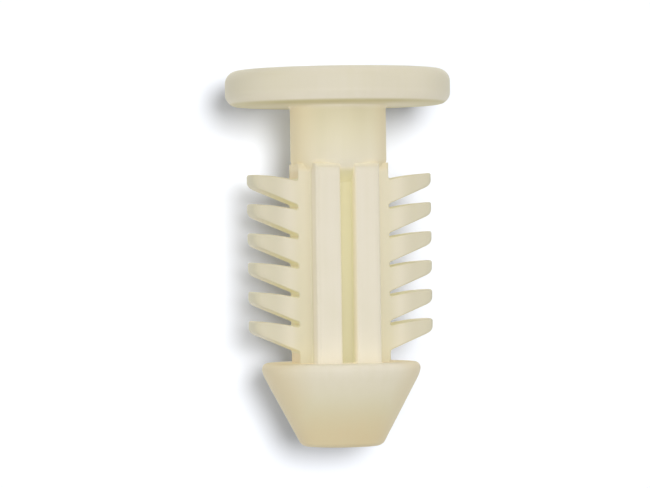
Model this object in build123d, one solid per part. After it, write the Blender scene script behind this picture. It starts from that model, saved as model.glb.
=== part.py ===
from build123d import *
import os
from math import radians, tan

# A one-piece push-in wall anchor, moulded in natural nylon.
# Lengths are in millimetres, angles in degrees.
# +Z points up through the head, X runs across the two rows of fins, and the front is -Y.
# The origin is on the axis, in the plane of the head's underside, which lies on the wall or panel.
# Each depth is measured down from there.

# Head
head_diameter = 11.25
head_thickness = 1.75
head_crown = 0.12
head_rim_radius = 0.6

# Neck, the round stretch that the panel sits around
neck_diameter = 4.8
neck_root_flare = 0.12
neck_below_web_top = 0.2

# Web, the flat core of the shank
web_width = 4.6
web_thickness = 2.5
web_above_first_fin = 0.77
web_corner_radius = 0.3

# Ribs, two on the front of the web and two on the back, with a groove between them
ribs_over_faces = 4.9
ribs_width = 3.2
groove_width = 0.75
groove_floors_apart = 3.2
rib_draft = 3.0
rib_above_web_top = 0.07
rib_end_radius = 0.35

# Fins, one row down each side of the web
fins_per_side = 6
fin_diameter = 9.2
grip_length = 3.41
fin_pitch = 1.455
fin_gap_at_root = 0.24
fin_rise = 0.33
fin_tip_thickness = 0.57
fin_top_bow = 0.05
fin_top_corner = 0.08
fin_bottom_corner = 0.2
slot_end_radius = 0.1

# Nose, the cone that finds the hole
nose_below_last_fin = 0.6
nose_diameter = 7.93
nose_length = 4.17
nose_land = 0.5
nose_half_angle = 28.0
nose_shoulder_radius = 0.3
nose_tip_radius = 0.4

# Heights that follow from the sizes above
fin_root_thickness = fin_pitch - fin_gap_at_root
first_root_top = -(grip_length + fin_rise)
last_root_bottom = first_root_top - (fins_per_side - 1) * fin_pitch - fin_root_thickness
web_top = first_root_top + web_above_first_fin
neck_bottom = web_top - neck_below_web_top
rib_top = web_top + rib_above_web_top
nose_top = last_root_bottom - nose_below_last_fin

# Reaches from the axis
neck_side = neck_diameter / 2
web_side = web_width / 2
web_face = web_thickness / 2


def make_head():
    """A round flange with a rounded rim and a slightly crowned top, flared where the neck leaves it."""
    rim = head_diameter / 2
    crown_top = head_thickness + head_crown
    crown_radius = (rim**2 + head_crown**2) / (2 * head_crown)
    with BuildPart() as head:
        with BuildSketch(Plane.XZ) as half_section:
            with BuildLine():
                Polyline(
                    (0, crown_top),
                    (0, -neck_root_flare),
                    (neck_side, -neck_root_flare),
                    (neck_side + neck_root_flare, 0),
                    (rim, 0),
                    (rim, head_thickness),
                )
                RadiusArc((rim, head_thickness), (0, crown_top), -crown_radius)
            make_face()
            rim_corners = half_section.vertices().group_by(Axis.X)[-1]
            fillet(rim_corners, radius=head_rim_radius)
        revolve(axis=Axis.Z)
    return head.part


def make_neck(shank):
    """The round neck between the head's flare and the shank, whose top end is set into it."""
    with BuildPart() as neck:
        with BuildSketch(Plane.XY.offset(neck_bottom)):
            Circle(neck_side)
        extrude(amount=-neck_root_flare - neck_bottom)
        add(shank, mode=Mode.SUBTRACT)
    return neck.part


def make_rib_pair():
    """The front pair of ribs: a drafted block on the web's face, with the groove cut down its middle."""
    face = ribs_over_faces / 2
    floor = groove_floors_apart / 2
    draft = tan(radians(rib_draft))
    outer = ribs_width / 2
    inner = groove_width / 2
    outer_base = outer + (face - web_face) * draft
    inner_base = inner - (face - floor) * draft
    with BuildPart() as ribs:
        with BuildSketch(Plane.XY.offset(nose_top)):
            Polygon(
                (-outer_base, -web_face),
                (-outer, -face),
                (outer, -face),
                (outer_base, -web_face),
                align=None,
            )
        extrude(amount=rib_top - nose_top)
        ends = ribs.edges().filter_by(Axis.X).group_by(Axis.Z)[-1].sort_by(Axis.Y)[0]
        fillet(ends, radius=rib_end_radius)
        with BuildSketch(Plane.XY.offset(nose_top)):
            Polygon(
                (-inner_base, -floor),
                (-inner, -face),
                (inner, -face),
                (inner_base, -floor),
                align=None,
            )
        extrude(amount=rib_top - nose_top, mode=Mode.SUBTRACT)
    return ribs.part


def make_shank():
    """The web with rounded top corners, and a pair of ribs on each face."""
    with BuildPart() as shank:
        with BuildSketch(Plane.XZ) as outline:
            with Locations((0, nose_top)):
                Rectangle(web_width, web_top - nose_top, align=(Align.CENTER, Align.MIN))
            top_corners = outline.vertices().group_by(Axis.Y)[-1]
            fillet(top_corners, radius=web_corner_radius)
        extrude(amount=web_face, both=True)
        front_ribs = make_rib_pair()
        add(front_ribs)
        add(mirror(front_ribs, about=Plane.XZ))
    return shank.part


def make_nose():
    """A round plug that tapers to a flat tip. Its shoulder is what first catches behind the panel."""
    rim = nose_diameter / 2
    bottom = nose_top - nose_length
    tip = rim - (nose_length - nose_land) * tan(radians(nose_half_angle))
    with BuildPart() as nose:
        with BuildSketch(Plane.XZ) as half_section:
            Polygon(
                (0, nose_top),
                (0, bottom),
                (tip, bottom),
                (rim, nose_top - nose_land),
                (rim, nose_top),
                align=None,
            )
            tip_corner = half_section.vertices().sort_by(Axis.X)[2]
            fillet(tip_corner, radius=nose_tip_radius)
            shoulder = half_section.vertices().group_by(Axis.X)[-1].sort_by(Axis.Y)[-1]
            fillet(shoulder, radius=nose_shoulder_radius)
        revolve(axis=Axis.Z)
    return nose.part


def make_fin():
    """The top fin of the right-hand row, with its root flared into the web's side."""
    tip = fin_diameter / 2
    root_top = first_root_top
    root_bottom = root_top - fin_root_thickness
    root_middle = (root_top + root_bottom) / 2
    tip_top = root_top + fin_rise
    bow_middle = ((web_side + tip) / 2, (root_top + tip_top) / 2 + fin_top_bow)
    underside_slope = (tip_top - fin_tip_thickness - root_bottom) / (tip - web_side)
    past_tip = tip + fin_tip_thickness
    past_tip_bottom = root_bottom + underside_slope * (past_tip - web_side)
    with BuildPart() as fin:
        with BuildSketch(Plane.XZ):
            with BuildLine():
                ThreePointArc((web_side, root_top), bow_middle, (tip, tip_top))
                Polyline(
                    (tip, tip_top),
                    (past_tip, tip_top),
                    (past_tip, past_tip_bottom),
                    (web_side, root_bottom),
                    (web_side, root_top),
                )
            make_face()
            with Locations((web_side, root_middle)):
                Rectangle(web_side, 2 * fin_pitch, align=(Align.MAX, Align.CENTER))
        extrude(amount=web_face, both=True)

        across = fin.edges().filter_by(Axis.Y)
        roots = across.filter_by_position(Axis.X, web_side - slot_end_radius, web_side + slot_end_radius)
        fillet(roots.sort_by(Axis.Z)[1:3], radius=slot_end_radius)

        # The web is cut away again, and the tip is cut to a circle about the anchor's axis.
        with BuildSketch(Plane.XY.offset(root_middle)):
            Circle(tip)
            with Locations((web_side, 0)):
                Rectangle(fin_diameter, fin_diameter, align=(Align.MAX, Align.CENTER), mode=Mode.SUBTRACT)
        extrude(amount=fin_pitch, both=True, mode=Mode.INTERSECT)

        tip_face = fin.faces().filter_by(GeomType.CYLINDER).sort_by(Axis.X)[-1]
        chamfer(tip_face.edges().sort_by(Axis.Z)[-1], length=fin_top_corner)
        tip_face = fin.faces().filter_by(GeomType.CYLINDER).sort_by(Axis.X)[-1]
        fillet(tip_face.edges().sort_by(Axis.Z)[0], radius=fin_bottom_corner)
    return fin.part


def write_node(part, name):
    """One closed solid, in one STEP file named after its node."""
    part.label = name
    export_step(part, os.path.join("parts", name + ".step"))


os.makedirs("parts", exist_ok=True)

shank = make_shank()
write_node(make_head(), "head")
write_node(make_neck(shank), "neck")
write_node(shank, "shank")
write_node(make_nose(), "nose")

right_fin = make_fin()
left_fin = mirror(right_fin, about=Plane.YZ)
for row in range(fins_per_side):
    down = Pos(0, 0, -row * fin_pitch)
    write_node(down * right_fin, f"fin_right_{row + 1}")
    write_node(down * left_fin, f"fin_left_{row + 1}")
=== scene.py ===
from math import cos, pi, radians, sin, sqrt, tan

import bmesh
import bpy
from bpy.props import FloatProperty, FloatVectorProperty, IntProperty, PointerProperty
from bpy.types import Operator, Panel, PropertyGroup
from mathutils import Matrix, Vector


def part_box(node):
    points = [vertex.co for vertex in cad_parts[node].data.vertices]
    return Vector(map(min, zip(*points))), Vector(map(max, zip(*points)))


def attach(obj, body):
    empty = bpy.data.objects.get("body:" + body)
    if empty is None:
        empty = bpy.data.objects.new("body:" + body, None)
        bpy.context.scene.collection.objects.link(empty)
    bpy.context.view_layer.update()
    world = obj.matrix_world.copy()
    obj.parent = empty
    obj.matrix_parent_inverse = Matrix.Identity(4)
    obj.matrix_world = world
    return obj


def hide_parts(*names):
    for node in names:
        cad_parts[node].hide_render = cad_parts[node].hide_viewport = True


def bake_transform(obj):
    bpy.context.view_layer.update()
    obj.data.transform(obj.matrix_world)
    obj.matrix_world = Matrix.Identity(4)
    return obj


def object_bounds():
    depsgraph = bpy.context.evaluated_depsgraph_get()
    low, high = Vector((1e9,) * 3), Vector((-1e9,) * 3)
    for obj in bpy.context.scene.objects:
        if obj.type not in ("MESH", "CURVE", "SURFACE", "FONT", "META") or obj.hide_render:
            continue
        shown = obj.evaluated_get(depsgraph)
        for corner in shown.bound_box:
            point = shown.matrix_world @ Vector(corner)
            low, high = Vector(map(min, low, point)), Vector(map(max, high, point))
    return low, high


bl_info = {
    "name": "Wall Anchor",
    "version": (1, 0, 0),
    "blender": (4, 5, 0),
    "location": "View3D > Sidebar > Wall Anchor",
    "description": "Models a one-piece nylon push-in wall anchor around its packed CAD solids",
    "category": "Object",
}

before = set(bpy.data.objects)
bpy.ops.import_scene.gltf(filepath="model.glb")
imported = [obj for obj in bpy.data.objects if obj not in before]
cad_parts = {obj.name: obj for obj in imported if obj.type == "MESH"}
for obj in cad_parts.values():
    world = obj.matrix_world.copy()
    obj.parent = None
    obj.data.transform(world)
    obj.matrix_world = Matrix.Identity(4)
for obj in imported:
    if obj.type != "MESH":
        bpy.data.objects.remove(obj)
CAD_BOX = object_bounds()

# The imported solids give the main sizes.
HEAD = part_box("head")
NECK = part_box("neck")
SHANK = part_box("shank")
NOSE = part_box("nose")
TOP_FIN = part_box("fin_right_1")
NEXT_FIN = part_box("fin_right_2")
FINS_PER_SIDE = sum(name.startswith("fin_right_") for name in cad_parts)

# Blender's bevels and booleans lose details of a few hundredths of a millimetre when a unit is a metre.
# So each piece is modelled in millimetres, and scaled down to metres when it is finished.
MILLIMETRES = 1000

# Shadowless lights on the anchor: name, the strength in the studio that it takes, its share of that,
# and its azimuth and height in degrees.
FILLS = (
    ("front_fill", "front", 1, -6, 0),
    ("left_fill", "fill", 1.24, -92, 0),
    ("right_fill", "fill", 0.92, 80, 5),
    ("upper_fill", "fill", 1.1, 0, 85),
    ("lower_fill", "fill", 0.95, 0, -85),
)


class AnchorSizes(PropertyGroup):
    """The sizes of the core: head, neck, shank and nose."""

    head_diameter: FloatProperty(
        name="Head diameter", description="Across the head's rim",
        default=2 * HEAD[1].x, unit="LENGTH",
    )
    head_crown: FloatProperty(
        name="Head crown", description="How far the head's top bulges above its rim",
        default=0.00012, unit="LENGTH",
    )
    head_rim_radius: FloatProperty(
        name="Head rim radius", description="Rounding of the rim's upper and lower edges",
        default=0.0006, unit="LENGTH",
    )
    neck_diameter: FloatProperty(
        name="Neck diameter", description="Across the round neck that the panel sits around",
        default=2 * NECK[1].x, unit="LENGTH",
    )
    neck_flare: FloatProperty(
        name="Neck flare", description="Rounding where the neck leaves the head",
        default=0.00012, unit="LENGTH",
    )
    neck_set_in: FloatProperty(
        name="Neck set in", description="How far below the web's top the neck's solid ends",
        default=0.0002, unit="LENGTH",
    )
    neck_foot_height: FloatProperty(
        name="Neck's foot height", description="Height of the cone in which the neck runs out in the shank",
        default=0.00105, unit="LENGTH",
    )
    neck_foot_radius: FloatProperty(
        name="Neck's foot radius", description="Radius of that cone's lower end, inside the shank",
        default=0.00145, unit="LENGTH",
    )
    web_width: FloatProperty(
        name="Web width", description="Across the flat web, between the two rows of fins",
        default=2 * SHANK[1].x, unit="LENGTH",
    )
    web_thickness: FloatProperty(
        name="Web thickness", description="Front to back of the web, and of the fins",
        default=2 * TOP_FIN[1].y, unit="LENGTH",
    )
    web_corner_radius: FloatProperty(
        name="Web corner radius", description="Rounding of the web's two top corners",
        default=0.0003, unit="LENGTH",
    )
    ribs_width: FloatProperty(
        name="Ribs' width", description="Across a pair of ribs, at their outer faces",
        default=0.0032, unit="LENGTH",
    )
    rib_draft: FloatProperty(
        name="Rib draft", description="Taper of the ribs' sides, which lets them leave the mould",
        default=radians(3), subtype="ANGLE",
    )
    rib_end_radius: FloatProperty(
        name="Rib end radius", description="Rounding of the ribs' top ends",
        default=0.00035, unit="LENGTH",
    )
    groove_width: FloatProperty(
        name="Groove width", description="Between the two ribs of a pair, at their outer faces",
        default=0.00075, unit="LENGTH",
    )
    groove_floors_apart: FloatProperty(
        name="Groove floors apart", description="From the front groove's floor to the back groove's",
        default=0.0032, unit="LENGTH",
    )
    nose_land: FloatProperty(
        name="Nose land", description="Height of the nose's straight rim",
        default=0.0005, unit="LENGTH",
    )
    nose_land_blend: FloatProperty(
        name="Nose land blend", description="How far the edge below the straight rim is rounded, up and down",
        default=0.00032, unit="LENGTH",
    )
    nose_half_angle: FloatProperty(
        name="Nose half angle", description="Between the nose's side and the axis",
        default=radians(28), subtype="ANGLE",
    )
    nose_shoulder_radius: FloatProperty(
        name="Nose shoulder radius", description="Rounding of the nose's upper rim",
        default=0.0003, unit="LENGTH",
    )
    nose_tip_radius: FloatProperty(
        name="Nose tip radius", description="Rounding around the nose's flat tip",
        default=0.0004, unit="LENGTH",
    )
    soft_edge: FloatProperty(
        name="Soft edge", description="Rounding of every moulded edge that has no size of its own",
        default=0.00009, unit="LENGTH",
    )
    round_steps: IntProperty(
        name="Round steps", description="Flats around the head, neck and nose", default=160, min=48,
    )


class FinSizes(PropertyGroup):
    """The sizes of the fins."""

    pitch: FloatProperty(
        name="Pitch", description="From one fin to the next",
        default=TOP_FIN[1].z - NEXT_FIN[1].z, unit="LENGTH",
    )
    reach: FloatProperty(
        name="Reach", description="From the axis to a fin's tip",
        default=TOP_FIN[1].x, unit="LENGTH",
    )
    grip_length: FloatProperty(
        name="Grip length", description="From the head's underside down to the first fin's tip",
        default=0.00341, unit="LENGTH",
    )
    gap_at_root: FloatProperty(
        name="Gap at root", description="Height of the slot between two fins where it ends",
        default=0.00024, unit="LENGTH",
    )
    rise: FloatProperty(
        name="Rise", description="How far a fin's top rises from its root to its tip",
        default=0.00033, unit="LENGTH",
    )
    tip_thickness: FloatProperty(
        name="Tip thickness", description="Height of a fin at its tip",
        default=0.00057, unit="LENGTH",
    )
    top_bow: FloatProperty(
        name="Top bow", description="How far a fin's top bulges between root and tip",
        default=0.00005, unit="LENGTH",
    )
    tip_top_radius: FloatProperty(
        name="Tip's top radius", description="Rounding of a tip's upper edge",
        default=0.00011, unit="LENGTH",
    )
    tip_bottom_radius: FloatProperty(
        name="Tip's bottom radius", description="Rounding of a tip's lower edge",
        default=0.0002, unit="LENGTH",
    )
    tip_corner_radius: FloatProperty(
        name="Tip's corner radius", description="Rounding of a tip's front and back corners, seen from above",
        default=0.0003, unit="LENGTH",
    )
    root_radius: FloatProperty(
        name="Root radius", description="Rounding where a fin leaves the web",
        default=0.0001, unit="LENGTH",
    )
    bend_length: FloatProperty(
        name="Bend length", description="Length of fin, from the root outwards, that flexes",
        default=0.0009, unit="LENGTH",
    )


class NylonFinish(PropertyGroup):
    """The colours and the surface of the natural nylon. Most of the colours also carry painted shade."""

    pale: FloatVectorProperty(
        name="Pale", description="Colour of the faces that stand out to the front and the back",
        default=(0.785, 0.72, 0.58), subtype="COLOR", min=0, max=1,
    )
    # Painted shade on the neck below the head and at its sides, and down the nose; also the clouds' warm
    # tone.
    deep_tone_and_shade: FloatVectorProperty(
        name="Deep", description="Colour of the neck and the lower nose, with more nylon behind",
        default=(0.67, 0.615, 0.395), subtype="COLOR", min=0, max=1,
    )
    # Painted shade on the web's faces, which lie back between the ribs and the fins, and on the fins' roots.
    web: FloatVectorProperty(
        name="Web", description="Colour of the web's faces beside the ribs",
        default=(0.62, 0.567, 0.39), subtype="COLOR", min=0, max=1,
    )
    # Painted shade in the grooves, between the fins and on the fins' tips.
    groove: FloatVectorProperty(
        name="Groove", description="Colour of the grooves' floors, and between the fins",
        default=(0.60, 0.56, 0.345), subtype="COLOR", min=0, max=1,
    )
    # Painted shade under the head.
    underside: FloatVectorProperty(
        name="Underside", description="Colour under the head",
        default=(0.58, 0.51, 0.27), subtype="COLOR", min=0, max=1,
    )
    # Painted shade on the sides of neck, web and nose, and on the nose's tip.
    amber: FloatVectorProperty(
        name="Amber", description="Colour of the nose's tip and of the sides of neck, web and nose",
        default=(0.68, 0.56, 0.33), subtype="COLOR", min=0, max=1,
    )
    # The fins' and the head's greyer tone; at the head's two ends it is painted shade.
    dull: FloatVectorProperty(
        name="Dull", description="Colour of the fins and, in part, of the head, a shade greyer",
        default=(0.64, 0.585, 0.43), subtype="COLOR", min=0, max=1,
    )
    roughness: FloatProperty(
        name="Roughness", description="How matt the moulded surface is", default=0.5, min=0, max=1,
    )
    parting_line: FloatProperty(
        name="Parting line", description="Half the width of the fine ridge where the mould's halves meet",
        default=0.00005, unit="LENGTH",
    )


class Studio(PropertyGroup):
    """Where the camera stands, and how strong the lights are."""

    distance: FloatProperty(
        name="Distance", description="From the anchor's axis to the camera", default=0.18, unit="LENGTH",
    )
    field: FloatProperty(
        name="Field", description="Width of the picture at the anchor's axis",
        default=0.0325, unit="LENGTH",
    )
    azimuth: FloatProperty(
        name="Azimuth", description="How far the camera stands round from the front, to the right",
        default=radians(-10.5), subtype="ANGLE",
    )
    roll: FloatProperty(
        name="Roll", description="How far the camera is tipped over sideways",
        default=radians(-0.8), subtype="ANGLE",
    )
    eye_level: FloatProperty(
        name="Eye level", description="Height of the camera", default=-0.00691, unit="LENGTH",
    )
    axis_offset: FloatProperty(
        name="Axis offset", description="How far right of the picture's middle the anchor's axis is",
        default=0.00073, unit="LENGTH",
    )
    ambient: FloatProperty(
        name="Ambient", description="Strength of the light from all round", default=0.1,
    )
    front: FloatProperty(
        name="Front", description="Strength of each of the two soft lights beside the camera", default=1.01,
    )
    fill: FloatProperty(
        name="Fill", default=1.0,
        description="Strength of the shadowless lights to the left, the right, above and below",
    )
    shadow_light: FloatProperty(
        name="Shadow light", description="Strength of the light that throws the shadow on the sheet",
        default=2.2,
    )
    shadow_softness: FloatProperty(
        name="Shadow softness", description="Angle over which that light spreads",
        default=radians(17), subtype="ANGLE",
    )
    halo_light: FloatProperty(
        name="Halo light", default=1.0,
        description="Strength of the softer light that shades the sheet all round the anchor",
    )
    floor_light: FloatProperty(
        name="Floor light", description="Strength of the light from above, which reaches only the floor",
        default=2.9,
    )
    back: FloatProperty(
        name="Back", description="Strength of the light that fills the back", default=1.8,
    )


def mm(length):
    """A length in metres as the millimetres that the pieces are modelled in."""
    return length * MILLIMETRES


def deselect_all():
    """Leaves nothing selected, in object mode."""
    if bpy.context.mode != "OBJECT":
        bpy.ops.object.mode_set(mode="OBJECT")
    bpy.ops.object.select_all(action="DESELECT")


def make_active(piece):
    """Selects this piece alone."""
    deselect_all()
    piece.select_set(True)
    bpy.context.view_layer.objects.active = piece


def select_where(kind, test):
    """Selects in edit mode the vertices, edges or faces that pass the test, and nothing else."""
    bpy.ops.mesh.select_mode(type=kind)
    bpy.ops.mesh.select_all(action="DESELECT")
    mesh = bpy.context.object.data
    shape = bmesh.from_edit_mesh(mesh)
    found = 0
    for item in {"VERT": shape.verts, "EDGE": shape.edges, "FACE": shape.faces}[kind]:
        if test(item):
            item.select_set(True)
            found += 1
    bmesh.update_edit_mesh(mesh)
    if not found:
        raise RuntimeError(f"no {kind.lower()} of {bpy.context.object.name} is where it should be")


def draw_face(name, points):
    """Draws a flat face: a plane is merged into one corner, which is extruded from point to point."""
    deselect_all()
    bpy.ops.mesh.primitive_plane_add(size=1)
    piece = bpy.context.object
    piece.name = name
    bpy.ops.object.mode_set(mode="EDIT")
    bpy.ops.mesh.select_mode(type="VERT")
    bpy.ops.mesh.merge(type="CENTER")
    bpy.ops.transform.translate(value=points[0])
    for here, there in zip(points, points[1:] + points[:1]):
        step = Vector(there) - Vector(here)
        bpy.ops.mesh.extrude_region_move(TRANSFORM_OT_translate={"value": step})
    bpy.ops.mesh.select_all(action="SELECT")
    bpy.ops.mesh.remove_doubles(threshold=0.0001)
    bpy.ops.mesh.edge_face_add()
    return piece


def round_corners(corners, radius, segments):
    """Rounds the corners of a drawn face that lie at the given points."""
    def is_corner(vertex):
        return any((vertex.co - Vector(corner)).length < 0.001 for corner in corners)

    select_where("VERT", is_corner)
    bpy.ops.mesh.bevel(
        offset=radius, offset_type="OFFSET", segments=segments, affect="VERTICES", clamp_overlap=False,
    )


def revolve_face(steps):
    """Spins the outline of a drawn half section round the Z axis, and closes it."""
    bpy.ops.mesh.select_mode(type="FACE")
    bpy.ops.mesh.select_all(action="SELECT")
    bpy.ops.mesh.delete(type="ONLY_FACE")
    select_where("EDGE", lambda edge: all(abs(v.co.x) < 0.0001 for v in edge.verts))
    bpy.ops.mesh.delete(type="EDGE")
    bpy.ops.mesh.select_all(action="SELECT")
    bpy.ops.mesh.spin(steps=steps, angle=2 * pi, center=(0, 0, 0), axis=(0, 0, 1))
    bpy.ops.mesh.select_all(action="SELECT")
    bpy.ops.mesh.remove_doubles(threshold=0.0001)
    bpy.ops.mesh.normals_make_consistent(inside=False)
    bpy.ops.object.mode_set(mode="OBJECT")


def apply_boolean(piece, other, operation):
    """Joins the other mesh to the piece, or cuts the piece with it, and deletes the other."""
    make_active(piece)
    modifier = piece.modifiers.new(operation.lower(), "BOOLEAN")
    modifier.operation = operation
    modifier.solver = "EXACT"
    modifier.object = other
    bpy.ops.object.modifier_apply(modifier=modifier.name)
    bpy.data.objects.remove(other)


def weight_normals(piece, keep_sharp):
    """Leaves the shading on flats flat, so that only the roundings between them look round."""
    weights = piece.modifiers.new("flats", "WEIGHTED_NORMAL")
    weights.keep_sharp = keep_sharp
    bpy.ops.object.modifier_apply(modifier=weights.name)


def finish_surface(piece):
    """Cleans the mesh, shades it smooth where it isn't sharp, and scales it down to metres."""
    make_active(piece)
    bpy.ops.object.mode_set(mode="EDIT")
    bpy.ops.mesh.select_all(action="SELECT")
    bpy.ops.mesh.remove_doubles(threshold=0.0005)
    bpy.ops.mesh.normals_make_consistent(inside=False)
    bpy.ops.object.mode_set(mode="OBJECT")
    bpy.ops.object.shade_smooth_by_angle(angle=radians(35))
    weight_normals(piece, keep_sharp=True)
    piece.scale = (1 / MILLIMETRES, 1 / MILLIMETRES, 1 / MILLIMETRES)
    bpy.ops.object.transform_apply(location=False, rotation=False, scale=True)


def model_head_and_neck(sizes):
    """The round flange and the neck, whose foot runs out as a cone in the web's faces and the grooves."""
    rim = mm(sizes.head_diameter) / 2
    crown = mm(sizes.head_crown)
    top = mm(HEAD[1].z)
    neck = mm(sizes.neck_diameter) / 2
    flare = mm(sizes.neck_flare)
    web_top = mm(NECK[0].z) + mm(sizes.neck_set_in)
    soft = mm(sizes.soft_edge)
    ball = (rim**2 + crown**2) / (2 * crown)
    crown_steps = 9
    crown_points = []
    for step in range(crown_steps + 1):
        reach = rim * step / crown_steps
        crown_points.append((reach, 0, top - ball + sqrt(ball**2 - reach**2)))
    under_rim = (rim, 0, 0)
    flare_top = (neck + flare, 0, 0)
    flare_bottom = (neck, 0, -flare)
    foot_top = (neck, 0, web_top)
    foot_end = (mm(sizes.neck_foot_radius), 0, web_top - mm(sizes.neck_foot_height))
    foot_middle = (0, 0, foot_end[2])
    piece = draw_face("nylon_core", [
        *crown_points, under_rim, flare_top, flare_bottom, foot_top, foot_end, foot_middle,
    ])
    round_corners([crown_points[-1], under_rim], mm(sizes.head_rim_radius), 8)
    round_corners([flare_top, flare_bottom], flare / 2, 3)
    round_corners([foot_top], 3 * soft, 8)
    revolve_face(sizes.round_steps)
    return piece


def model_nose(sizes):
    """The blunt cone at the lower end."""
    rim = mm(NOSE[1].x)
    top = mm(NOSE[1].z)
    bottom = mm(NOSE[0].z)
    land_end = top - mm(sizes.nose_land)
    tip = rim - (land_end - bottom) * tan(sizes.nose_half_angle)
    shoulder = (rim, 0, top)
    below_land = (rim, 0, land_end)
    tip_corner = (tip, 0, bottom)
    piece = draw_face("nose", [(0, 0, top), shoulder, below_land, tip_corner, (0, 0, bottom)])
    round_corners([shoulder], mm(sizes.nose_shoulder_radius), 6)
    round_corners([below_land], mm(sizes.nose_land_blend), 8)

    # Away from a right angle, the width of a bevel isn't its radius but follows from how far the edge turns.
    turn = pi / 2 - sizes.nose_half_angle
    round_corners([tip_corner], mm(sizes.nose_tip_radius) * tan(turn / 2), 6)
    revolve_face(sizes.round_steps)
    return piece


def model_shank(sizes):
    """The web and its two pairs of ribs, extruded from their common section and rounded at the top."""
    side = mm(sizes.web_width) / 2
    face = mm(sizes.web_thickness) / 2
    rib_face = mm(SHANK[1].y)
    floor = mm(sizes.groove_floors_apart) / 2
    draft = tan(sizes.rib_draft)
    outer = mm(sizes.ribs_width) / 2
    inner = mm(sizes.groove_width) / 2
    outer_base = outer + (rib_face - face) * draft
    inner_base = inner - (rib_face - floor) * draft
    soft = mm(sizes.soft_edge)
    into_nose = 0.5
    bottom = mm(NOSE[1].z) - into_nose
    top = mm(SHANK[1].z)

    # One quarter of the section, from the web's side round to the middle of the groove.
    web_corner = (side, face)
    rib_root = (outer_base, face)
    rib_corner = (outer, rib_face)
    groove_lip = (inner, rib_face)
    groove_root = (inner_base, floor)
    quarter = [web_corner, rib_root, rib_corner, groove_lip, groove_root]
    section = quarter + [(-x, y) for x, y in reversed(quarter)]
    section += [(-x, -y) for x, y in section]
    piece = draw_face("shank", [(x, y, bottom) for x, y in section])

    def all_four(place):
        x, y = place
        return [(x, y, bottom), (-x, y, bottom), (-x, -y, bottom), (x, -y, bottom)]

    round_corners(all_four(rib_corner), 2.5 * soft, 7)
    round_corners(all_four(web_corner), 1.3 * soft, 4)
    round_corners(all_four(groove_lip), 1.5 * soft, 5)
    round_corners(all_four(rib_root) + all_four(groove_root), soft, 4)
    bpy.ops.mesh.select_all(action="SELECT")
    bpy.ops.mesh.extrude_region_move(TRANSFORM_OT_translate={"value": (0, 0, top - bottom)})
    bpy.ops.mesh.select_all(action="SELECT")
    bpy.ops.mesh.normals_make_consistent(inside=False)

    # A block with rounded top edges rounds the ribs' ends and the web's top corners.
    deselect_all()
    bpy.ops.mesh.primitive_cube_add(size=1, location=(0, 0, (top + bottom) / 2))
    block = bpy.context.object
    block.scale = (2 * side, 2 * rib_face, top - bottom)
    bpy.ops.object.transform_apply(location=True, rotation=False, scale=True)
    bpy.ops.object.mode_set(mode="EDIT")

    def top_edge(axis):
        def test(edge):
            a, b = (v.co for v in edge.verts)
            return a.z > top - 0.001 and b.z > top - 0.001 and abs(a[axis] - b[axis]) < 0.001
        return test

    select_where("EDGE", top_edge(1))
    bpy.ops.mesh.bevel(offset=mm(sizes.rib_end_radius), segments=8, clamp_overlap=False)
    select_where("EDGE", top_edge(0))
    bpy.ops.mesh.bevel(offset=mm(sizes.web_corner_radius), segments=8, clamp_overlap=False)
    bpy.ops.object.mode_set(mode="OBJECT")
    apply_boolean(piece, block, "INTERSECT")
    return piece


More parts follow.
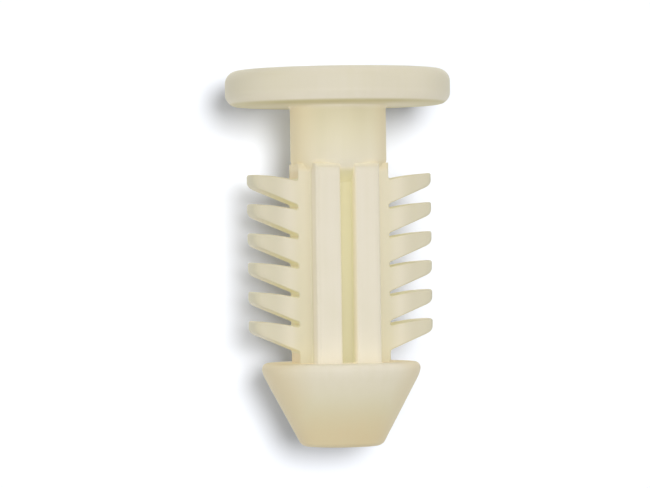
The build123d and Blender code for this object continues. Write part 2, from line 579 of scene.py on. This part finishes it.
def model_fin(sizes, fins):
    """The top fin of the right-hand row, drawn from the front, with a pad that sits inside the web."""
    side = mm(sizes.web_width) / 2

    # The fins' faces stand a micrometre out from the web's, so that the two never coincide.
    proud_of_web = 0.001
    face = mm(sizes.web_thickness) / 2 + proud_of_web
    tip = mm(fins.reach)
    pitch = mm(fins.pitch)
    rise = mm(fins.rise)
    bow = mm(fins.top_bow)
    root_top = -mm(fins.grip_length) - rise
    root_bottom = root_top - pitch + mm(fins.gap_at_root)
    tip_bottom = root_top + rise - mm(fins.tip_thickness)
    radius = mm(fins.root_radius)
    soft = mm(sizes.soft_edge)
    pad = 0.3
    lip = 1.1 * radius

    def top_at(x):
        t = (x - side) / (tip - side)
        return root_top + rise * t + 4 * bow * t * (1 - t)

    def bottom_at(x):
        return root_bottom + (tip_bottom - root_bottom) * (x - side) / (tip - side)

    # Columns of vertices let the fin bend. None stands near the tip, where the edges are rounded.
    columns = 9
    last_column = tip - 0.8
    reaches = [side + (last_column - side) * step / columns for step in range(columns + 1)] + [tip]
    top_root = (side, -face, root_top)
    bottom_root = (side, -face, root_bottom)
    upper = [(x, -face, top_at(x)) for x in reaches[1:]]
    lower = [(x, -face, bottom_at(x)) for x in reversed(reaches[1:])]
    outline = [
        (side - pad, -face, root_top + lip), (side, -face, root_top + lip), top_root, *upper, *lower,
        bottom_root, (side, -face, root_bottom - lip), (side - pad, -face, root_bottom - lip),
    ]
    piece = draw_face("fin_pattern", outline)
    round_corners([top_root, bottom_root], radius, 5)
    round_corners([upper[-1]], mm(fins.tip_top_radius), 4)
    round_corners([lower[0]], mm(fins.tip_bottom_radius), 6)
    bpy.ops.mesh.select_all(action="SELECT")
    bpy.ops.mesh.extrude_region_move(TRANSFORM_OT_translate={"value": (0, 2 * face, 0)})
    bpy.ops.mesh.select_all(action="SELECT")
    bpy.ops.mesh.normals_make_consistent(inside=False)

    def front_or_back_rim(edge):
        a, b = (v.co for v in edge.verts)
        on_face = abs(abs(a.y) - face) < 0.0005 and abs(a.y - b.y) < 0.0005
        return on_face and min(a.x, b.x) > side - 0.001 and max(a.x, b.x) > side + 0.001

    select_where("EDGE", front_or_back_rim)
    bpy.ops.mesh.bevel(offset=soft, segments=4, clamp_overlap=False)

    # Slices from front to back let the tip follow a circle about the anchor's axis, with rounded corners.
    # Growing the tip from the point where the fin's top and underside would meet keeps it between them.
    slices = 16
    for step in range(1, slices):
        bpy.ops.mesh.select_all(action="SELECT")
        bpy.ops.mesh.bisect(plane_co=(0, face * cos(pi * step / slices), 0), plane_no=(0, 1, 0))
    top_slope = rise / (tip - side)
    underside_slope = (tip_bottom - root_bottom) / (tip - side)
    meeting = side + (root_top - root_bottom) / (underside_slope - top_slope)
    meeting_height = root_top + top_slope * (meeting - side)
    corner = mm(fins.tip_corner_radius)
    tip_zone = tip - 0.4

    def in_tip(vertex):
        return vertex.co.x > tip_zone

    tip_vertices = filter(in_tip, bmesh.from_edit_mesh(piece.data).verts)
    for depth in sorted({round(abs(vertex.co.y), 4) for vertex in tip_vertices}):
        past_corner = min(max(0, depth - face + corner), corner)
        inset = tip - sqrt(tip**2 - depth**2) + corner - sqrt(corner**2 - past_corner**2)
        growth = 1 + inset / (meeting - tip)
        select_where("VERT", lambda v: abs(abs(v.co.y) - depth) < 0.0001 and in_tip(v))
        bpy.ops.transform.resize(value=(growth, 1, growth), center_override=(meeting, 0, meeting_height))
    bpy.ops.object.mode_set(mode="OBJECT")
    return piece


def add_node(tree, kind, **settings):
    """Adds a node and sets its attributes."""
    node = tree.nodes.new(kind)
    for name, value in settings.items():
        setattr(node, name, value)
    return node


def link(tree, source, target):
    """Joins an output to an input."""
    tree.links.new(source, target)


def maths(tree, operation, first, second=None, clamp=False):
    """A Math node on two sockets or numbers."""
    node = add_node(tree, "ShaderNodeMath", operation=operation, use_clamp=clamp)
    for place, value in enumerate((first, second)):
        if value is None:
            continue
        if isinstance(value, (int, float)):
            node.inputs[place].default_value = value
        else:
            link(tree, value, node.inputs[place])
    return node.outputs[0]


def product(tree, *factors):
    """The factors multiplied together, each a socket or a number."""
    result = factors[0]
    for factor in factors[1:]:
        result = maths(tree, "MULTIPLY", result, factor)
    return result


def either(tree, first, second):
    """The larger of two masks."""
    return maths(tree, "MAXIMUM", first, second)


def outside(tree, mask):
    """1 where the mask is 0, and 0 where it is 1."""
    return maths(tree, "SUBTRACT", 1.0, mask)


def at_least(tree, share, mask):
    """Lifts a mask, so that it goes from the share, not from 0, to 1."""
    return maths(tree, "ADD", share, product(tree, mask, 1 - share))


def ramp(tree, value, start, end):
    """Goes smoothly from 0 to 1 while the value goes from start to end."""
    node = add_node(tree, "ShaderNodeMapRange", interpolation_type="SMOOTHSTEP")
    link(tree, value, node.inputs["Value"])
    node.inputs["From Min"].default_value = start
    node.inputs["From Max"].default_value = end
    return node.outputs["Result"]


def blend_colours(tree, share, first, second):
    """Mixes two colours, each a socket or a plain colour."""
    node = add_node(tree, "ShaderNodeMix", data_type="RGBA")
    if isinstance(share, (int, float)):
        node.inputs[0].default_value = share
    else:
        link(tree, share, node.inputs[0])
    for socket, colour in ((node.inputs[6], first), (node.inputs[7], second)):
        if isinstance(colour, bpy.types.NodeSocket):
            link(tree, colour, socket)
        else:
            socket.default_value = (*colour, 1)
    return node.outputs[2]


def darker(colour, share):
    """The colour at this share of its brightness."""
    return [share * part for part in colour]


def noise(tree, place, scale, detail, roughness=0.5, along=1):
    """A noise, drawn out along the anchor where along is below 1."""
    stretch = add_node(tree, "ShaderNodeMapping")
    stretch.inputs["Scale"].default_value = (1, 1, along)
    link(tree, place, stretch.inputs["Vector"])
    texture = add_node(tree, "ShaderNodeTexNoise")
    texture.inputs["Scale"].default_value = scale
    texture.inputs["Detail"].default_value = detail
    texture.inputs["Roughness"].default_value = roughness
    link(tree, stretch.outputs["Vector"], texture.inputs["Vector"])
    return texture.outputs["Fac"]


def new_group(name, inputs, outputs):
    """A shader node group with named sockets, and its input and output nodes."""
    tree = bpy.data.node_groups.new(name, "ShaderNodeTree")
    for label, kind, default in inputs:
        socket = tree.interface.new_socket(label, in_out="INPUT", socket_type=kind)
        if default is not None:
            socket.default_value = default
    for label, kind in outputs:
        tree.interface.new_socket(label, in_out="OUTPUT", socket_type=kind)
    return tree, tree.nodes.new("NodeGroupInput"), tree.nodes.new("NodeGroupOutput")


def cloudiness_group():
    """Uneven milkiness of natural nylon: slow clouds and faint flow lines along the anchor."""
    tree, given, result = new_group(
        "nylon_cloudiness",
        [
            ("Place", "NodeSocketVector", None),
            ("Colour", "NodeSocketColor", (0.7, 0.65, 0.5, 1)),
            ("Warm", "NodeSocketColor", (0.7, 0.6, 0.35, 1)),
            ("Amount", "NodeSocketFloat", 0.1),
        ],
        [("Colour", "NodeSocketColor")],
    )
    clouds = noise(tree, given.outputs["Place"], scale=420, detail=3, roughness=0.55)
    flow = noise(tree, given.outputs["Place"], scale=2600, detail=2, along=0.07)
    share = maths(tree, "SUBTRACT", maths(tree, "ADD", clouds, flow), 0.75)
    share = maths(tree, "MULTIPLY", share, given.outputs["Amount"], clamp=True)
    colour = blend_colours(tree, share, given.outputs["Colour"], given.outputs["Warm"])
    link(tree, colour, result.inputs["Colour"])


def grain_group():
    """Fine texture that the mould leaves, with faint draw marks along the anchor and its parting line."""
    tree, given, result = new_group(
        "moulded_grain",
        [
            ("Place", "NodeSocketVector", None),
            ("Roughness", "NodeSocketFloat", 0.4),
            ("Spread", "NodeSocketFloat", 0.1),
            ("Ridge", "NodeSocketFloat", 0),
        ],
        [("Height", "NodeSocketFloat"), ("Roughness", "NodeSocketFloat")],
    )
    grain = noise(tree, given.outputs["Place"], scale=9000, detail=4)
    marks = noise(tree, given.outputs["Place"], scale=7000, detail=2, along=0.03)
    height = maths(tree, "ADD", product(tree, marks, 0.5), grain)
    height = maths(tree, "ADD", height, product(tree, given.outputs["Ridge"], 4.0))
    link(tree, height, result.inputs["Height"])
    swing = product(tree, maths(tree, "SUBTRACT", grain, 0.5), given.outputs["Spread"])
    rough = maths(tree, "ADD", swing, given.outputs["Roughness"], clamp=True)
    link(tree, rough, result.inputs["Roughness"])


def shared_groups():
    """The two effects that both nylon materials use, each built once."""
    if "nylon_cloudiness" not in bpy.data.node_groups:
        cloudiness_group()
        grain_group()
    return {
        "clouds": bpy.data.node_groups["nylon_cloudiness"],
        "grain": bpy.data.node_groups["moulded_grain"],
    }


def nylon_material(name, finish, groups, tint):
    """Satin natural nylon. The tint function gives the colour before clouds and grain."""
    material = bpy.data.materials.new(name)
    material.use_nodes = True
    tree = material.node_tree
    shader = tree.nodes["Principled BSDF"]
    place = add_node(tree, "ShaderNodeTexCoord").outputs["Object"]
    axes = add_node(tree, "ShaderNodeSeparateXYZ")
    link(tree, place, axes.inputs[0])
    colour = tint(tree, axes.outputs, finish)

    clouds = add_node(tree, "ShaderNodeGroup", node_tree=groups["clouds"])
    link(tree, place, clouds.inputs["Place"])
    link(tree, colour, clouds.inputs["Colour"])
    clouds.inputs["Warm"].default_value = (*finish.deep_tone_and_shade, 1)
    clouds.inputs["Amount"].default_value = 0.35
    link(tree, clouds.outputs["Colour"], shader.inputs["Base Color"])

    depth = maths(tree, "ABSOLUTE", axes.outputs["Y"])
    parting_line = ramp(tree, depth, finish.parting_line, finish.parting_line / 4)
    grain = add_node(tree, "ShaderNodeGroup", node_tree=groups["grain"])
    link(tree, place, grain.inputs["Place"])
    link(tree, parting_line, grain.inputs["Ridge"])
    grain.inputs["Roughness"].default_value = finish.roughness
    grain.inputs["Spread"].default_value = 0.16
    link(tree, grain.outputs["Roughness"], shader.inputs["Roughness"])
    bump = add_node(tree, "ShaderNodeBump")
    bump.inputs["Strength"].default_value = 0.35
    bump.inputs["Distance"].default_value = 0.000004
    link(tree, grain.outputs["Height"], bump.inputs["Height"])
    link(tree, bump.outputs["Normal"], shader.inputs["Normal"])

    shader.inputs["IOR"].default_value = 1.53
    return material


def web_shade_share(tree, height):
    """How much painted shade the web's faces take beside the ribs: more towards the nose."""
    lower = ramp(tree, height, NECK[0].z, NOSE[1].z)
    return maths(tree, "ADD", 0.52, product(tree, lower, 0.4))


def core_tint(tree, axes, finish):
    """Painted shade: deeper in the grooves, on the sides, under the head and down the nose. Lengths are in
    metres.
    """
    across = maths(tree, "ABSOLUTE", axes["X"])
    depth = maths(tree, "ABSOLUTE", axes["Y"])
    height = axes["Z"]
    squares = maths(tree, "ADD", product(tree, across, across), product(tree, depth, depth))
    radius = maths(tree, "SQRT", squares)
    sideways = ramp(tree, maths(tree, "DIVIDE", across, radius), 0.45, 1.0)

    # The regions. Their limits keep clear of the head's flat underside, at height 0, and of the nose's
    # flat top, which would otherwise take half of the neighbour's tint.
    in_head = ramp(tree, height, -0.00003, -0.00001)
    below_neck = ramp(tree, height, NECK[0].z + 0.0001, NECK[0].z - 0.0002)
    above_nose = ramp(tree, height, NOSE[1].z + 0.00001, NOSE[1].z + 0.00003)
    in_neck = product(tree, outside(tree, in_head), outside(tree, below_neck))
    in_shank = product(tree, below_neck, above_nose)
    in_nose = outside(tree, above_nose)

    # Painted shade: the neck is deeper towards the head, under which shade falls, and at its sides, the nose
    # towards its tip.
    shade_under_head = product(tree, ramp(tree, height, -0.0042, -0.0006), ramp(tree, height, 0.0001, -0.0003), 0.66)
    neck = product(tree, either(tree, shade_under_head, product(tree, sideways, 0.6)), in_neck)
    nose = product(tree, ramp(tree, height, NOSE[1].z + 0.0004, NOSE[0].z + 0.0012), in_nose, 0.8)
    colour = blend_colours(tree, either(tree, neck, nose), finish.pale, finish.deep_tone_and_shade)

    # Painted shade: the ribs' faces stay pale, the web's faces are deeper, and the grooves' floors most of
    # all, darker towards the nose.
    web_shade = product(tree, ramp(tree, depth, 0.0018, 0.0013), web_shade_share(tree, height), in_shank)
    colour = blend_colours(tree, web_shade, colour, finish.web)
    groove = product(tree, ramp(tree, across, 0.00037, 0.00032), in_shank)
    shade_near_nose = ramp(tree, height, NECK[0].z - 0.004, NOSE[1].z)
    floor = blend_colours(tree, shade_near_nose, finish.groove, darker(finish.groove, 0.88))
    colour = blend_colours(tree, groove, colour, floor)

    # The head is duller over its upper part, its own greyer tone, and at its two ends, where the dullness is
    # painted shade; not at all at the lower rim's front and back.
    rim = ramp(tree, radius, 0.0044, 0.0056)
    middle = product(tree, ramp(tree, height, 0.0001, 0.0008), 0.5)
    dullness = maths(tree, "ADD", middle, product(tree, sideways, rim, 0.5))
    colour = blend_colours(tree, product(tree, dullness, in_head), colour, finish.dull)

    # Painted shade: neck, nose and web turn amber at their sides, and the nose at its tip.
    tip = ramp(tree, height, NOSE[0].z + 0.0028, NOSE[0].z + 0.0004)
    nose_shade = product(tree, either(tree, tip, product(tree, sideways, 0.8)), in_nose)
    neck_side_shade = product(tree, sideways, in_neck, 0.6)
    colour = blend_colours(tree, either(tree, nose_shade, neck_side_shade), colour, finish.amber)
    side = product(tree, ramp(tree, across, 0.00221, 0.0023), ramp(tree, depth, 0.00125, 0.00115), in_shank)
    colour = blend_colours(tree, side, colour, darker(finish.amber, 0.9))

    # Painted shade under the head, half as strong near the neck, which stands in for light from the neck.
    away_from_neck = at_least(tree, 0.5, ramp(tree, radius, 0.0026, 0.0050))
    underside = product(tree, ramp(tree, height, 0.0002, 0.00006), away_from_neck, in_head)
    return blend_colours(tree, underside, colour, finish.underside)


def fin_tint(tree, axes, finish):
    """Duller towards the tip; painted shade at the root, on the surfaces between two fins and on the tip.
    Lengths are in metres.
    """
    across = maths(tree, "ABSOLUTE", axes["X"])
    depth = maths(tree, "ABSOLUTE", axes["Y"])
    # Painted shade: the root takes the web's colour, and the surfaces between two fins and the tip take the
    # grooves'.
    root = product(tree, ramp(tree, across, 0.0030, 0.0022), web_shade_share(tree, axes["Z"]))
    colour = blend_colours(tree, root, finish.pale, finish.web)
    colour = blend_colours(tree, ramp(tree, across, 0.0023, 0.0036), colour, finish.dull)
    behind_face = ramp(tree, depth, 0.00126, 0.00115)
    shade_between_fins = product(tree, behind_face, ramp(tree, across, 0.0041, 0.0030), 0.85)
    tip = product(tree, ramp(tree, across, 0.0042, 0.0046), 0.35)
    return blend_colours(tree, either(tree, shade_between_fins, tip), colour, finish.groove)


def add_camera(studio):
    """A long lens towards the anchor, shifted and tipped over as in the photo."""
    right = Vector((cos(studio.azimuth), sin(studio.azimuth), 0))
    nearer = Vector((sin(studio.azimuth), -cos(studio.azimuth), 0))
    up = Vector((0, 0, 1))
    lens = bpy.data.cameras.new("camera")
    lens.sensor_width = 36
    lens.lens = lens.sensor_width * studio.distance / studio.field
    lens.clip_start = 0.001
    camera = bpy.data.objects.new("camera", lens)
    bpy.context.scene.collection.objects.link(camera)
    bpy.context.scene.camera = camera
    turn = Matrix((right, up, nearer)).transposed() @ Matrix.Rotation(studio.roll, 3, "Z")
    place = nearer * studio.distance - right * studio.axis_offset + up * studio.eye_level
    camera.matrix_world = Matrix.Translation(place) @ turn.to_4x4()


def new_collection(name, members):
    """A collection outside the scene, for the lights to name what they shine on."""
    collection = bpy.data.collections.new(name)
    for member in members:
        collection.objects.link(member)
    return collection


def add_sun(name, receivers, strength, angle, azimuth, height):
    """A distant light on the receivers alone, from an azimuth that counts to the right from the front."""
    light = bpy.data.lights.new(name, "SUN")
    light.energy = strength
    light.angle = angle
    lamp = bpy.data.objects.new(name, light)
    lamp.light_linking.receiver_collection = receivers
    bpy.context.scene.collection.objects.link(lamp)
    towards = Vector((sin(azimuth) * cos(height), -cos(azimuth) * cos(height), sin(height)))
    lamp.rotation_euler = towards.to_track_quat("Z", "Y").to_euler()
    return lamp


def light_anchor(studio, anchor):
    """The soft lights on the anchor alone."""
    add_sun("front", anchor, studio.front, radians(60), studio.azimuth + radians(10), radians(5))
    back = add_sun("back", anchor, studio.back, radians(100), radians(168), radians(15))
    # Bounced off the anchor's back, this light would turn the sheet yellow.
    back.data.cycles.max_bounces = 0
    for name, strength, share, azimuth, height in FILLS:
        strength = share * getattr(studio, strength)
        fill = add_sun(name, anchor, strength, radians(60), radians(azimuth), radians(height))
        fill.data.use_shadow = False


def light_sheet(studio, backdrop):
    """The lights on the sheet alone: for the shadow to one side, the shade all round, and the floor."""
    azimuth, height = studio.azimuth + radians(11.5), radians(6.5)
    add_sun("shadow", backdrop, studio.shadow_light, studio.shadow_softness, azimuth, height)
    add_sun("halo", backdrop, studio.halo_light, radians(30), studio.azimuth, 0)
    add_sun("floor", backdrop, studio.floor_light, radians(12), 0, radians(90))


def seen_directly(tree):
    """1 for rays from the camera, and for reflected or transmitted ones."""
    path = add_node(tree, "ShaderNodeLightPath")
    seen = either(tree, path.outputs["Is Camera Ray"], path.outputs["Is Glossy Ray"])
    return either(tree, seen, path.outputs["Is Transmission Ray"])


def add_world(studio):
    """A bright surround where it is seen, which gives little light of its own."""
    world = bpy.data.worlds.new("studio")
    world.use_nodes = True
    tree = world.node_tree
    background = tree.nodes["Background"]
    background.inputs["Color"].default_value = (0.92, 0.96, 1, 1)
    strength = add_node(tree, "ShaderNodeMapRange")
    link(tree, seen_directly(tree), strength.inputs["Value"])
    strength.inputs["To Min"].default_value = studio.ambient
    strength.inputs["To Max"].default_value = 1.0
    link(tree, strength.outputs["Result"], background.inputs["Strength"])
    bpy.context.scene.world = world


def sheet_material():
    """Matt, nearly white paper from the front, and clear from behind."""
    material = bpy.data.materials.new("pale_sheet")
    material.use_nodes = True
    tree = material.node_tree
    shader = tree.nodes["Principled BSDF"]
    shader.inputs["Base Color"].default_value = (0.905, 0.93, 0.99, 1)
    shader.inputs["Roughness"].default_value = 1
    shader.inputs["Specular IOR Level"].default_value = 0
    clear = add_node(tree, "ShaderNodeBsdfTransparent")
    choose = add_node(tree, "ShaderNodeMixShader")
    link(tree, add_node(tree, "ShaderNodeNewGeometry").outputs["Backfacing"], choose.inputs[0])
    link(tree, shader.outputs[0], choose.inputs[1])
    link(tree, clear.outputs[0], choose.inputs[2])
    link(tree, choose.outputs[0], tree.nodes["Material Output"].inputs["Surface"])
    return material


def add_sheet():
    """A pale sheet that hangs close behind the anchor and sweeps forward into the floor."""
    behind = CAD_BOX[1].y + 0.0003
    floor = CAD_BOX[0].z - 0.008
    top = 0.4
    width = 1
    floor_length = 0.6
    sweep = 0.003
    deselect_all()
    bpy.ops.mesh.primitive_plane_add(
        size=1, location=(0, behind, (top + floor) / 2), rotation=(pi / 2, 0, 0),
    )
    sheet = bpy.context.object
    sheet.name = "sheet"
    sheet.scale = (width, top - floor, 1)
    bpy.ops.object.transform_apply(location=True, rotation=True, scale=True)
    bpy.ops.object.mode_set(mode="EDIT")

    def at_floor(edge):
        return all(abs(vertex.co.z - floor) < 1e-6 for vertex in edge.verts)

    def in_corner(edge):
        return at_floor(edge) and all(abs(vertex.co.y - behind) < 1e-6 for vertex in edge.verts)

    select_where("EDGE", at_floor)
    bpy.ops.mesh.extrude_region_move(TRANSFORM_OT_translate={"value": (0, -floor_length, 0)})
    select_where("EDGE", in_corner)
    bpy.ops.mesh.bevel(offset=sweep, segments=10)
    bpy.ops.mesh.select_all(action="SELECT")
    bpy.ops.mesh.normals_make_consistent(inside=False)
    bpy.ops.object.mode_set(mode="OBJECT")
    if sum(face.normal.z - face.normal.y for face in sheet.data.polygons) < 0:
        sheet.data.flip_normals()
    bpy.ops.object.shade_smooth()
    weight_normals(sheet, keep_sharp=False)
    sheet.data.materials.append(sheet_material())
    sheet.visible_diffuse = False
    sheet.visible_shadow = False
    return sheet


class WALLANCHOR_OT_core(Operator):
    """Models head, neck, shank and nose as the one piece of nylon that they are"""

    bl_idname = "wall_anchor.core"
    bl_label = "Model the core"

    def execute(self, context):
        sizes = context.scene.anchor_sizes
        core = model_head_and_neck(sizes)
        apply_boolean(core, model_shank(sizes), "UNION")
        apply_boolean(core, model_nose(sizes), "UNION")
        finish_surface(core)
        finish = context.scene.nylon_finish
        core.data.materials.append(nylon_material("natural_nylon_core", finish, shared_groups(), core_tint))
        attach(core, "core")
        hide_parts("head", "neck", "shank", "nose")
        return {"FINISHED"}


class WALLANCHOR_OT_fins(Operator):
    """Models one fin and copies it into the two rows down the web"""

    bl_idname = "wall_anchor.fins"
    bl_label = "Model the fins"

    def execute(self, context):
        sizes = context.scene.anchor_sizes
        fins = context.scene.fin_sizes
        finish = context.scene.nylon_finish
        material = nylon_material("natural_nylon_fin", finish, shared_groups(), fin_tint)
        pattern = model_fin(sizes, fins)
        for row_name, mirror in (("right", 1), ("left", -1)):
            for row in range(FINS_PER_SIDE):
                make_active(pattern)
                bpy.ops.object.duplicate()
                fin = bpy.context.object
                node = f"fin_{row_name}_{row + 1}"
                fin.name = node + "_nylon"
                fin.location = (0, 0, -row * mm(fins.pitch))
                fin.scale = (mirror, 1, 1)
                bpy.ops.object.transform_apply(location=True, rotation=False, scale=True)
                finish_surface(fin)
                fin.data.materials.append(material)
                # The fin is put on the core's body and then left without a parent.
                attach(fin, "core")
                fin.parent = None
                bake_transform(fin)
                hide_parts(node)
        bpy.data.objects.remove(pattern)
        return {"FINISHED"}


class WALLANCHOR_OT_stage(Operator):
    """Sets up the camera, the pale sheet behind the anchor, the soft lights and the surround"""

    bl_idname = "wall_anchor.stage"
    bl_label = "Set up the studio"

    def execute(self, context):
        studio = context.scene.studio
        anchor = new_collection("anchor", [piece for piece in bpy.data.objects if piece.type == "MESH"])
        add_camera(studio)
        sheet = add_sheet()
        light_anchor(studio, anchor)
        light_sheet(studio, new_collection("backdrop", [sheet]))
        add_world(studio)
        context.scene.view_settings.view_transform = "Standard"
        return {"FINISHED"}


class VIEW3D_PT_wall_anchor(Panel):
    """Lists the anchor's sizes and finish, and the steps that model it"""

    bl_label = "Wall Anchor"
    bl_space_type = "VIEW_3D"
    bl_region_type = "UI"
    bl_category = "Wall Anchor"

    def draw(self, context):
        layout = self.layout
        for name in SETTINGS:
            settings = getattr(context.scene, name)
            box = layout.box()
            box.label(text=settings.bl_rna.description)
            for prop in settings.bl_rna.properties:
                if prop.identifier not in ("rna_type", "name"):
                    box.prop(settings, prop.identifier)
        for operator in OPERATORS:
            layout.operator(operator.bl_idname)


SETTINGS = {
    "anchor_sizes": AnchorSizes,
    "fin_sizes": FinSizes,
    "nylon_finish": NylonFinish,
    "studio": Studio,
}
OPERATORS = (WALLANCHOR_OT_core, WALLANCHOR_OT_fins, WALLANCHOR_OT_stage)


def register():
    for name, group in SETTINGS.items():
        bpy.utils.register_class(group)
        setattr(bpy.types.Scene, name, PointerProperty(type=group))
    for operator in OPERATORS:
        bpy.utils.register_class(operator)
    bpy.utils.register_class(VIEW3D_PT_wall_anchor)


def unregister():
    bpy.utils.unregister_class(VIEW3D_PT_wall_anchor)
    for operator in reversed(OPERATORS):
        bpy.utils.unregister_class(operator)
    for name, group in SETTINGS.items():
        delattr(bpy.types.Scene, name)
        bpy.utils.unregister_class(group)


def main():
    register()
    bpy.ops.wall_anchor.core()
    bpy.ops.wall_anchor.fins()
    bpy.ops.wall_anchor.stage()


if __name__ == "__main__":
    main()
